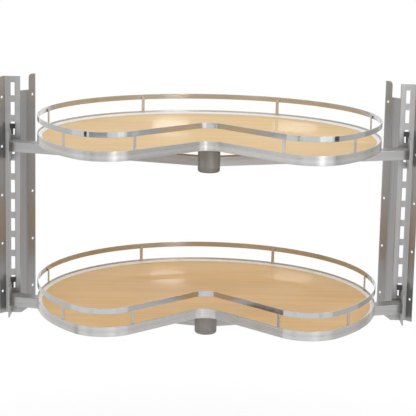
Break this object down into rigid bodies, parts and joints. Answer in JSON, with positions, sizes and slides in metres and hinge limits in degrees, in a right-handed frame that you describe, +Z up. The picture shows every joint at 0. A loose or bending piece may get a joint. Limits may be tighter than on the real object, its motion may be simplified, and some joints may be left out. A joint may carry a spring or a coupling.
{
  "type": "corner carousel",
  "caption": "Corner carousel fitting: kidney-shaped trays with a guard rail turn on hubs that arms carry, hooked into slotted uprights on the cabinet's walls.",
  "frame": {"origin": "on the vertical axis that both trays turn on, level with the lower ends of the two uprights", "axes": "+Z up along the turning axis, +Y back towards the cabinet's corner, +X to the user's right; the trays' notches face -Y at rest"},
  "size_m": [1.0666, 0.718, 0.615],
  "materials": {
    "brushed_sheet": "satin brushed sheet steel, streaks along its length",
    "brushed_nickel": "brushed nickel-plated flat bar",
    "polished_rail": "bright plated flat bar",
    "zinc_plated_steel": "zinc plated",
    "hub_finish": "dark grey-brown satin coating",
    "maple": "clear satin lacquer over maple",
    "pale_trim": "smooth pale grey strip",
    "black_plastic": "moulded",
    "white_plastic": "moulded bearing plastic"
  },
  "bodies": {
    "frame": {"left_upright": "brushed_sheet", "right_upright": "brushed_sheet", "upper_left_hook_plate": "brushed_sheet", "upper_right_hook_plate": "brushed_sheet", "upper_left_arm": "brushed_sheet", "upper_right_arm": "brushed_sheet", "upper_hub_housing": "hub_finish", "upper_hub_bush": "white_plastic", "upper_thrust_washer": "white_plastic", "lower_left_hook_plate": "brushed_sheet", "lower_right_hook_plate": "brushed_sheet", "lower_left_arm": "brushed_sheet", "lower_right_arm": "brushed_sheet", "lower_hub_housing": "hub_finish", "lower_hub_bush": "white_plastic", "lower_thrust_washer": "white_plastic"},
    "upper_tray": {"upper_spindle": "zinc_plated_steel", "upper_retaining_ring": "zinc_plated_steel", "upper_turntable_plate": "zinc_plated_steel", "upper_tray_screw_1": "zinc_plated_steel", "upper_tray_screw_2": "zinc_plated_steel", "upper_tray_screw_3": "zinc_plated_steel", "upper_tray_screw_4": "zinc_plated_steel", "upper_board": "maple", "upper_edge_trim": "pale_trim", "upper_band": "brushed_nickel", "upper_rail": "polished_rail", "upper_right_back_post": "brushed_nickel", "upper_left_back_post": "brushed_nickel", "upper_right_side_post": "brushed_nickel", "upper_left_side_post": "brushed_nickel", "upper_right_front_post": "brushed_nickel", "upper_left_front_post": "brushed_nickel", "upper_right_notch_post": "brushed_nickel", "upper_left_notch_post": "brushed_nickel"},
    "lower_tray": {"lower_spindle": "zinc_plated_steel", "lower_retaining_ring": "zinc_plated_steel", "lower_turntable_plate": "zinc_plated_steel", "lower_tray_screw_1": "zinc_plated_steel", "lower_tray_screw_2": "zinc_plated_steel", "lower_tray_screw_3": "zinc_plated_steel", "lower_tray_screw_4": "zinc_plated_steel", "lower_board": "maple", "lower_edge_trim": "pale_trim", "lower_band": "brushed_nickel", "lower_rail": "polished_rail", "lower_right_back_post": "brushed_nickel", "lower_left_back_post": "brushed_nickel", "lower_right_side_post": "brushed_nickel", "lower_left_side_post": "brushed_nickel", "lower_right_front_post": "brushed_nickel", "lower_left_front_post": "brushed_nickel", "lower_right_notch_post": "brushed_nickel", "lower_left_notch_post": "brushed_nickel"},
    "upper_left_clip": {"upper_left_lock_clip": "black_plastic"},
    "upper_right_clip": {"upper_right_lock_clip": "black_plastic"},
    "lower_left_clip": {"lower_left_lock_clip": "black_plastic"},
    "lower_right_clip": {"lower_right_lock_clip": "black_plastic"}
  },
  "joints": [
    {"name": "upper_tray_spin", "type": "hinge", "parent": "frame", "child": "upper_tray", "pos_m": [0, 0, 0.491], "axis": [0, 0, 1], "continuous": true},
    {"name": "lower_tray_spin", "type": "hinge", "parent": "frame", "child": "lower_tray", "pos_m": [0, 0, 0.091], "axis": [0, 0, 1], "continuous": true},
    {"name": "upper_left_clip_pull", "type": "slide", "parent": "frame", "child": "upper_left_clip", "axis": [0, -1, 0], "range_m": [0, 0.012]},
    {"name": "upper_right_clip_pull", "type": "slide", "parent": "frame", "child": "upper_right_clip", "axis": [0, -1, 0], "range_m": [0, 0.012]},
    {"name": "lower_left_clip_pull", "type": "slide", "parent": "frame", "child": "lower_left_clip", "axis": [0, -1, 0], "range_m": [0, 0.012]},
    {"name": "lower_right_clip_pull", "type": "slide", "parent": "frame", "child": "lower_right_clip", "axis": [0, -1, 0], "range_m": [0, 0.012]}
  ]
}
